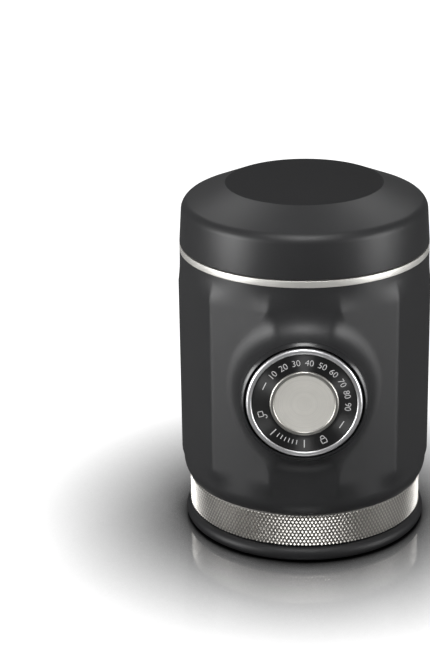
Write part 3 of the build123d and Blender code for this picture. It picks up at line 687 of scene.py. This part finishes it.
# ---------------------------------------------------------------- water tank
def perforated_disc(bm, radius, rim, pitch, hole, z, thickness, plain=0.0):
    """A level sheet with a honeycomb of round holes between the radii plain and radius."""
    sheet = bmesh.new()
    count = 2 ** math.ceil(math.log2(2.4 * radius / pitch + 4))
    rise = pitch * math.sqrt(0.75)
    bmesh.ops.create_circle(
        sheet, cap_ends=True, segments=6, radius=pitch / math.sqrt(3),
        matrix=Matrix.Translation((-pitch * count / 2, -rise * count / 2, z)),
    )
    repeat(sheet, count, (pitch, 0, 0))
    repeat(sheet, 2, (pitch / 2, rise, 0))
    repeat(sheet, count // 2, (0, 2 * rise, 0))
    spare = [f for f in sheet.faces if f.calc_center_median().xy.length > radius]
    bmesh.ops.delete(sheet, geom=spare, context="FACES")
    bmesh.ops.remove_doubles(sheet, verts=sheet.verts[:], dist=pitch * 0.05)
    edge = [e for e in sheet.edges if len(e.link_faces) == 1]
    cells = [f for f in sheet.faces if f.calc_center_median().xy.length > plain]
    bmesh.ops.inset_individual(sheet, faces=cells, thickness=pitch / 2 - hole)
    centres = KDTree(len(cells))
    for number, cell in enumerate(cells):
        centres.insert(cell.calc_center_median(), number)
    centres.balance()
    rims = list({e for cell in cells for e in cell.edges})
    bmesh.ops.delete(sheet, geom=cells, context="FACES")
    bmesh.ops.subdivide_edges(sheet, edges=rims, cuts=1)
    ring = bmesh.ops.create_circle(
        sheet, segments=192, radius=rim, matrix=Matrix.Translation((0, 0, z))
    )["verts"]
    outside = {v for e in edge for v in e.verts} | set(ring)
    for corner in sheet.verts:
        if corner not in outside and any(len(e.link_faces) == 1 for e in corner.link_edges):
            centre = centres.find(corner.co)[0]
            corner.co = centre + (corner.co - centre).normalized() * hole
    bmesh.ops.bridge_loops(sheet, edges=edge + list({e for v in ring for e in v.link_edges}))
    thicken(sheet, thickness)
    add_mesh(bm, sheet)


def tank():
    cup = turned(
        [
            (0, 68.9), (TANK_RADIUS, 68.9, 3.2), (TANK_RADIUS, RIM), (HALF_WIDTH, RIM, 0.15),
            (HALF_WIDTH, FLANGE_TOP, 0.15), (TANK_RADIUS, FLANGE_TOP), (NECK_RADIUS, LID_FOOT),
            (NECK_RADIUS, 93.6, 0.2), (31.2, 93.6, 0.2), (31.2, TANK_FLOOR, 2.4),
            (0, TANK_FLOOR),
        ],
        steps=256,
    )
    cut_thread(cup, NECK_RADIUS, 0.32, low=86.0, high=93.0, pitch=NECK_PITCH)

    def off_flange(middle):
        return middle.xy.length < TANK_RADIUS + 0.1 or not RIM - 0.3 < middle.z < LID_FOOT

    use_second_material(cup, off_flange)
    make_piece(cup, "tank_cup", "main", "steel", ["tank_liner"], flange_steel, tank_steel)

    strainer = turned(
        [
            (6.7, TANK_FLOOR), (7.2, TANK_FLOOR), (7.2, 73.2, 0.6), (6.4, 73.2), (6.4, 72.7),
            (6.7, 72.7),
        ],
        closed=True, steps=96,
    )
    perforated_disc(strainer, radius=5.6, rim=6.5, pitch=1.4, hole=0.45, z=72.72, thickness=0.44)
    over_inlet = (0, 21.6, 0)
    bmesh.ops.translate(strainer, verts=strainer.verts[:], vec=over_inlet)
    make_piece(strainer, "tank_strainer", "main", "silicone", ["inlet_strainer"], silicone_grey)


# ---------------------------------------------------------------- brew head
def brew_head():
    collar = turned(
        [
            (COLLAR_BORE, FOOT, 0.3), (COLLAR_RADIUS, FOOT), (COLLAR_RADIUS, COLLAR_TOP),
            (COLLAR_BORE, COLLAR_TOP),
        ],
        closed=True,
    )
    cut_thread(collar, COLLAR_BORE, -0.6, low=15.6, high=28.6, pitch=COLLAR_PITCH)
    make_piece(collar, "body_collar", "main", "steel", ["thread_collar"], thread_steel)

    screen = bmesh.new()
    perforated_disc(
        screen, radius=23.2, rim=25.3, pitch=1.7, hole=0.5, z=27.72, thickness=0.56, plain=4.6
    )
    make_piece(screen, "brew_screen", "main", "steel", ["shower_screen"], tank_steel)

    socket, flats = 1.4, 0.9  # its radius, and its six flats' place as a share of that
    screw = turned(
        [
            (0, 27.35), (socket, 27.35), (socket, 26.8), (4.0, 26.8, 0.4), (4.0, 27.7),
            (1.6, 27.7), (1.6, 34.3, 0.3), (0, 34.3),
        ],
        steps=96,
    )
    sixth = math.pi / 3
    for corner in screw.verts:
        if abs(corner.co.xy.length - socket) < NEAR_ENOUGH:
            turn = (math.atan2(corner.co.y, corner.co.x) + sixth / 2) % sixth - sixth / 2
            corner.co.xy = corner.co.xy * (flats / math.cos(turn))
    make_piece(screw, "brew_screw", "main", "steel", ["shower_screw"], tank_steel)


# ---------------------------------------------------------------- portafilter and base
def portafilter():
    """The ring with its diamond knurl: every second corner of a fine grid stands up to a point."""
    inside, thread = 28.4, 30.35
    rows = [4.79 + KNURL_STEP * n for n in range(KNURL_ROWS)]
    ring = turned(
        [(inside, 4.3, 0.2), (33.1, 4.3), (KNURL_ROOT, 4.5)]
        + [(KNURL_ROOT, z) for z in rows]
        + [(KNURL_ROOT, 13.9), (33.1, 14.1), (thread, 14.1), (thread, 26.3, 0.5)]
        + [(inside, 26.3, 0.3)],
        closed=True, steps=2 * KNURLS,
    )
    band = set()
    for corner in ring.verts:
        row = (corner.co.z - rows[0]) / KNURL_STEP
        number = round(row)
        on_row = abs(row - number) < NEAR_ENOUGH and 0 <= number < KNURL_ROWS
        if on_row and corner.co.xy.length > KNURL_ROOT - 0.05:
            band.add(corner)
            column = round(math.atan2(corner.co.y, corner.co.x) / math.pi * KNURLS)
            if (column + number) % 2 == 0:
                corner.co.xy = corner.co.xy * (KNURL_POINT / KNURL_ROOT)
    knurled = [f for f in ring.faces if all(v in band for v in f.verts)]
    bmesh.ops.triangulate(ring, faces=knurled, quad_method="SHORT_EDGE")
    cut_thread(ring, thread, 0.5, low=15.0, high=25.4, pitch=COLLAR_PITCH)
    make_piece(
        ring, "portafilter_knurled", "portafilter", "knurled_steel", ["portafilter_ring"],
        knurl_steel, crease=24,
    )

    basket = turned(
        [
            (23.6, 6.1), (26.8, 6.1, 1.8), (26.8, 26.6), (29.4, 26.6, 0.3), (29.4, 27.4, 0.3),
            (26.0, 27.4, 0.5), (26.0, 6.9, 1.3), (23.6, 6.9),
        ],
        closed=True,
    )
    perforated_disc(basket, radius=22.4, rim=23.9, pitch=1.25, hole=0.36, z=6.14, thickness=0.7)
    make_piece(basket, "coffee_basket", "basket", "steel", ["filter_basket"], tank_steel)


def base():
    cap = turned(
        [
            (0, 0), (25.0, 0, 0.2), (25.0, 0.8, 0.2), (27.0, 0.8, 0.2), (27.0, 0, 0.2),
            (35.0, 0, 1.9), (35.0, 4.0, 1.9), (28.1, 4.0), (28.1, 8.0, 0.3), (27.1, 8.0, 0.3),
            (27.1, 4.0, 0.5), (0, 4.0),
        ],
        steps=256, segments=8,
    )
    make_piece(cap, "base_foot", "base", "base_rubber", ["base_cap"], base_black)


# ---------------------------------------------------------------- knob
SEAT = 40.3  # the front of the skirt, which carries the bezel, the dial and the button
DIAL_FACE, DIAL_RADIUS, BUTTON_RADIUS = 41.9, 14.5, 9.4
BUTTON_FACE, BUTTON_RIM = 42.25, 42.5
PRINT_THICKNESS = 0.03


def to_clock(bm, corners, clock):
    """Turns corners from the top of the dial to this clock angle."""
    rotate(bm, corners, -math.radians(clock))


def flat_bar(bm, width, length, x, y, turn=0.0):
    """A level bar with its middle at x and y, turned about that middle."""
    made = bmesh.ops.create_grid(bm, x_segments=1, y_segments=1, size=0.5)["verts"]
    bmesh.ops.scale(bm, verts=made, vec=(width, length, 1))
    rotate(bm, made, math.radians(turn))
    bmesh.ops.translate(bm, verts=made, vec=(x, y, 0))
    return made


def printed_bar(bm, length, width, radius, clock, turn=0.0):
    """A printed line, radial unless it is turned."""
    to_clock(bm, flat_bar(bm, width, length, 0, radius, turn), clock)


def printed_number(bm, text, size, radius, clock):
    curve = bpy.data.curves.new("number", "FONT")
    curve.body, curve.size, curve.align_x = text, size, "CENTER"
    curve.offset = -0.03  # thinner strokes
    holder = bpy.data.objects.new("number", curve)
    mesh = bpy.data.meshes.new_from_object(holder)
    before = set(bm.verts)
    bm.from_mesh(mesh)
    made = [v for v in bm.verts if v not in before]
    bpy.data.objects.remove(holder)
    bpy.data.curves.remove(curve)
    bpy.data.meshes.remove(mesh)
    bmesh.ops.translate(bm, verts=made, vec=(0, radius, 0))
    to_clock(bm, made, clock)


def printed_padlock(bm, clock, opened):
    """A padlock in outline: its case, and a shackle that stands to one side if opened."""
    line, case_width, case_height = 0.2, 1.7, 1.3
    shackle_foot, shackle_radius = 1.7, 0.5
    sign = bmesh.new()
    for y in (0, case_height):
        flat_bar(sign, case_width, line, 0, y)
    for x in (-0.75, 0.75):
        flat_bar(sign, line, 1.5, x, case_height / 2)
    side = 0.95 if opened else 0.0
    ends = [
        sign.verts.new((side + shackle_radius + out, shackle_foot, 0))
        for out in (-line / 2, line / 2)
    ]
    bow = sign.edges.new(ends)
    bmesh.ops.spin(
        sign, geom=ends + [bow], axis=(0, 0, 1), cent=(side, shackle_foot, 0), angle=math.pi,
        steps=12,
    )
    for x in ((side - shackle_radius,) if opened else (-shackle_radius, shackle_radius)):
        flat_bar(sign, line, 0.35, x, 1.55)
    rotate(sign, sign.verts[:], math.pi)
    bmesh.ops.translate(sign, verts=sign.verts[:], vec=(0, 12.9, 0))
    to_clock(sign, sign.verts[:], clock)
    add_mesh(bm, sign)


def printed_marks():
    """The dial's print: two long ticks with six short ones between, 10 to 90, two padlocks."""
    marks = bmesh.new()
    for clock in (180, 225):
        printed_bar(marks, 2.3, 0.26, 11.95, clock)
    for step in range(6):
        printed_bar(marks, 1.3, 0.2, 11.7, 190.3 + 5.4 * step)
    for clock in (295, 121.5):
        printed_bar(marks, 2.3, 0.24, 11.9, clock, turn=90)
    for step in range(9):
        printed_number(marks, str(10 * (step + 1)), 2.5, 11.0, 314 + 17.6 * step)
    printed_padlock(marks, 154, opened=False)
    printed_padlock(marks, 255, opened=True)
    bmesh.ops.translate(marks, verts=marks.verts[:], vec=(0, 0, DIAL_FACE))
    thicken(marks, PRINT_THICKNESS)
    return marks


def knob_piece(bm, name, slot, nodes, *materials, **settings):
    lay_on_pump(bm)
    make_piece(bm, name, "piston", slot, nodes, *materials, **settings)


def knob():
    bezel = turned(
        [
            (DIAL_RADIUS, SEAT), (15.85, SEAT, 0.2), (15.85, 42.3, 0.8), (14.35, 42.3, 0.6),
            (14.35, 41.92), (DIAL_RADIUS, 41.92),
        ],
        closed=True, steps=256, segments=8,
    )
    knob_piece(bezel, "knob_bezel", "chrome", ["chrome_bezel"], bezel_chrome)

    dial = turned(
        [
            (BUTTON_RADIUS, SEAT), (DIAL_RADIUS, SEAT), (DIAL_RADIUS, DIAL_FACE),
            (BUTTON_RADIUS, DIAL_FACE),
        ],
        closed=True,
    )
    knob_piece(dial, "knob_dial", "gloss_black", ["dial_ring"], gloss_black)
    knob_piece(printed_marks(), "knob_marks", "white_plastic", [], printed_white)

    button = turned(
        [
            (0, BUTTON_FACE), (8.3, BUTTON_FACE, 0.12), (8.45, BUTTON_RIM, 0.12),
            (9.1, BUTTON_RIM, 0.2), (BUTTON_RADIUS, 42.2, 0.15), (BUTTON_RADIUS, SEAT), (0, SEAT),
        ],
    )
    use_second_material(button, lambda middle: middle.xy.length > 8.25)
    knob_piece(
        button, "knob_button", "satin_steel", ["button_plate"], button_steel, rim_steel, crease=20
    )

    skirt = turned(
        [
            (0, SEAT), (15.2, SEAT, 0.4), (15.2, 14.0, 0.4), (13.3, 14.0, 0.4), (13.3, 37.8, 0.5),
            (0, 37.8),
        ],
    )
    knob_piece(skirt, "knob_skirt", "black_plastic", ["piston_knob"], inner_black)


# ---------------------------------------------------------------- springs
def coil(wire, radius, low, stretches, steps=48):
    """A spring's wire wound on Z from its lowest turn up. Each stretch is its turns and climb."""
    bm = bmesh.new()
    bmesh.ops.create_circle(
        bm, cap_ends=True, segments=10, radius=wire / 2,
        matrix=Matrix.Translation((radius, 0, low)) @ Matrix.Rotation(math.pi / 2, 4, "X"),
    )
    last = everything(bm)
    for turns, climb in stretches:
        last = spin(bm, last, 2 * math.pi * turns, round(steps * turns), climb)
    bmesh.ops.recalc_face_normals(bm, faces=bm.faces[:])
    return bm


def return_spring():
    """It pushes the knob out. Its end turns lie closer."""
    wire, low, high = 1.2, 13.0, 37.8
    climb = high - low - wire
    ends, between = 0.055 * climb, 0.89 * climb
    bm = coil(wire, 10.6, low + wire / 2, ((1.0, ends), (4.5, between), (1.0, ends)))
    lay_on_pump(bm)
    height = PUMP_HEIGHT / 1000
    make_piece(
        bm, "pump_spring", "knob_turn", "steel", ["return_spring"], pump_steel,
        stretched=("piston", (0, -0.0136, height), (0, -0.0372, height)),
    )


def valve_springs():
    """Each lies under its ball."""
    wire = 0.3
    for name in ("inlet", "outlet"):
        low, high = (corner * 1000 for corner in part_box(f"{name}_valve_spring"))
        middle = (low + high) / 2
        radius = (high.x - low.x - wire) / 2
        bm = coil(wire, radius, low.z + wire / 2, ((3.0, high.z - low.z - wire),), steps=32)
        bmesh.ops.translate(bm, verts=bm.verts[:], vec=(middle.x, middle.y, 0))
        foot, head = (
            Vector((middle.x, middle.y, z)) / 1000 for z in (low.z + wire, high.z - wire)
        )
        make_piece(
            bm, f"{name}_spring", "main", "steel", [f"{name}_valve_spring"], tank_steel,
            stretched=(f"{name}_ball", foot, head),
        )


# ---------------------------------------------------------------- pieces that keep their CAD shape
FINISHES = (
    (inner_black, "boss_bush", "pump_block", "brew_head"),
    (
        white_acetal, "rod_guide", "inlet_valve_seat", "outlet_valve_cap", "plunger_head",
        "spring_washer",
    ),
    (seal_black, "tank_oring", "plunger_seal"),
    (silicone_grey, "tank_gasket", "lid_seal", "lid_vent_valve", "outlet_seal", "group_gasket"),
    (tank_steel, "tank_nut", "inlet_valve_ball", "outlet_valve_ball", "clamp_screws"),
    (pump_steel, "pump_cylinder", "plunger_rod", "plunger_screw"),
)


def finish_cad_pieces():
    for material, *names in FINISHES:
        for name in names:
            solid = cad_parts[name]
            solid.data.materials.clear()
            solid.data.materials.append(material)


# ---------------------------------------------------------------- floor, light and camera
OBJECT_MIDDLE = Vector((0, 0, 0.05))
LAMP_DISTANCE = 0.9


def lay_floor():
    """A pale polished floor with a painted shadow close to the object and a painted white glow
    further out.
    """
    sheet = bmesh.new()
    bmesh.ops.create_grid(sheet, x_segments=1, y_segments=1, size=3.0)
    mesh = bpy.data.meshes.new("floor")
    sheet.to_mesh(mesh)
    sheet.free()
    material, tree, shader = new_material("floor_white")
    shader.inputs["Roughness"].default_value = 0.08
    shader.inputs["IOR"].default_value = 2.1
    shader.inputs["Emission Color"].default_value = (1, 1, 1, 1)

    # painted shadow: an occlusion node darkens the floor's colour and its glow close to the object
    nearby = add_node(tree, "ShaderNodeAmbientOcclusion", {"Distance": 0.07}, samples=32)
    clear = calculate(tree, "POWER", rescale(tree, nearby.outputs["AO"], 0.5, 0.93), 1.5)
    seen = add_node(tree, "ShaderNodeLightPath").outputs["Is Camera Ray"]
    # the camera sees the floor's colour painted lighter than reflections see it
    tone = rescale(tree, seen, to_low=0.2, to_high=0.4)
    tree.links.new(calculate(tree, "MULTIPLY", clear, tone), shader.inputs["Base Color"])
    # painted glow: the camera sees the floor glow, more the further it lies from the object
    reach = add_node(tree, "ShaderNodeVectorMath", {0: object_place(tree)}, operation="LENGTH")
    far = rescale(tree, reach.outputs["Value"], 0.045, 0.105, 0.5, 1.0)
    painted_glow = calculate(tree, "MULTIPLY", calculate(tree, "MULTIPLY", clear, seen), far)
    tree.links.new(painted_glow, shader.inputs["Emission Strength"])

    mesh.materials.append(material)
    floor = bpy.data.objects.new("floor", mesh)
    bpy.context.scene.collection.objects.link(floor)


def light_the_room():
    """A dim fill on everything. The camera, and a first reflection low down, see white walls."""
    world = bpy.data.worlds.new("studio")
    bpy.context.scene.world = world
    world.use_nodes = True
    tree = world.node_tree
    background = tree.nodes["Background"]
    background.inputs["Color"].default_value = (1, 1, 1, 1)
    rays = add_node(tree, "ShaderNodeLightPath").outputs
    way = add_node(tree, "ShaderNodeTexCoord").outputs["Generated"]
    height = add_node(tree, "ShaderNodeSeparateXYZ", {"Vector": way}).outputs["Z"]
    walls = rescale(tree, height, 0.55, 0.7, 1.0, 0.15)
    first = rescale(tree, rays["Ray Depth"], 1.0, 2.0, 1.0, 0.0)
    mirrored = calculate(tree, "MAXIMUM", rays["Is Glossy Ray"], rays["Is Transmission Ray"])
    on_walls = calculate(tree, "MULTIPLY", calculate(tree, "MULTIPLY", mirrored, first), walls)
    seen = calculate(tree, "MAXIMUM", on_walls, rays["Is Camera Ray"])
    tree.links.new(rescale(tree, seen, to_low=0.12, to_high=1.0), background.inputs["Strength"])


def softbox(name, azimuth, height, wide, high, power):
    """A lamp aimed at the object. Azimuth 0 is in front, and 90 is on the right."""
    lamp = bpy.data.lights.new(name, "AREA")
    lamp.shape = "RECTANGLE"
    lamp.size, lamp.size_y = wide, high
    lamp.energy = power
    a, e = math.radians(azimuth), math.radians(height)
    away = Vector((math.sin(a) * math.cos(e), -math.cos(a) * math.cos(e), math.sin(e)))
    holder = bpy.data.objects.new(name, lamp)
    holder.location = OBJECT_MIDDLE + away * LAMP_DISTANCE
    holder.rotation_euler = (-away).to_track_quat("-Z", "Y").to_euler()
    bpy.context.scene.collection.objects.link(holder)


def set_up_camera():
    """In front and above, tipped down at the object, with a slight turn and roll."""
    lens = bpy.data.cameras.new("camera")
    lens.lens = 110.99
    lens.sensor_width = 36.0
    camera = bpy.data.objects.new("camera", lens)
    camera.matrix_world = (
        Matrix.Translation((0, -0.54036, 0.26744))
        @ Matrix.Rotation(math.radians(2.734), 4, "Z")
        @ Matrix.Rotation(math.radians(90 - 21.112), 4, "X")
        @ Matrix.Rotation(math.radians(-1.007), 4, "Z")
    )
    bpy.context.scene.collection.objects.link(camera)
    bpy.context.scene.camera = camera
    bpy.context.scene.view_settings.view_transform = "Standard"


body_shell()
lid()
tank()
brew_head()
portafilter()
base()
knob()
return_spring()
valve_springs()
finish_cad_pieces()

lay_floor()
light_the_room()
softbox("left_box", -67, 8, wide=0.45, high=0.34, power=5.7)
softbox("right_box", 69, 8, wide=0.42, high=0.34, power=4.2)
softbox("front_box", 0, 60, wide=0.3, high=0.4, power=4.2)
softbox("back_left_box", -150, 47, wide=0.3, high=0.3, power=0.9)
softbox("back_right_box", 150, 47, wide=0.3, high=0.3, power=0.9)
set_up_camera()
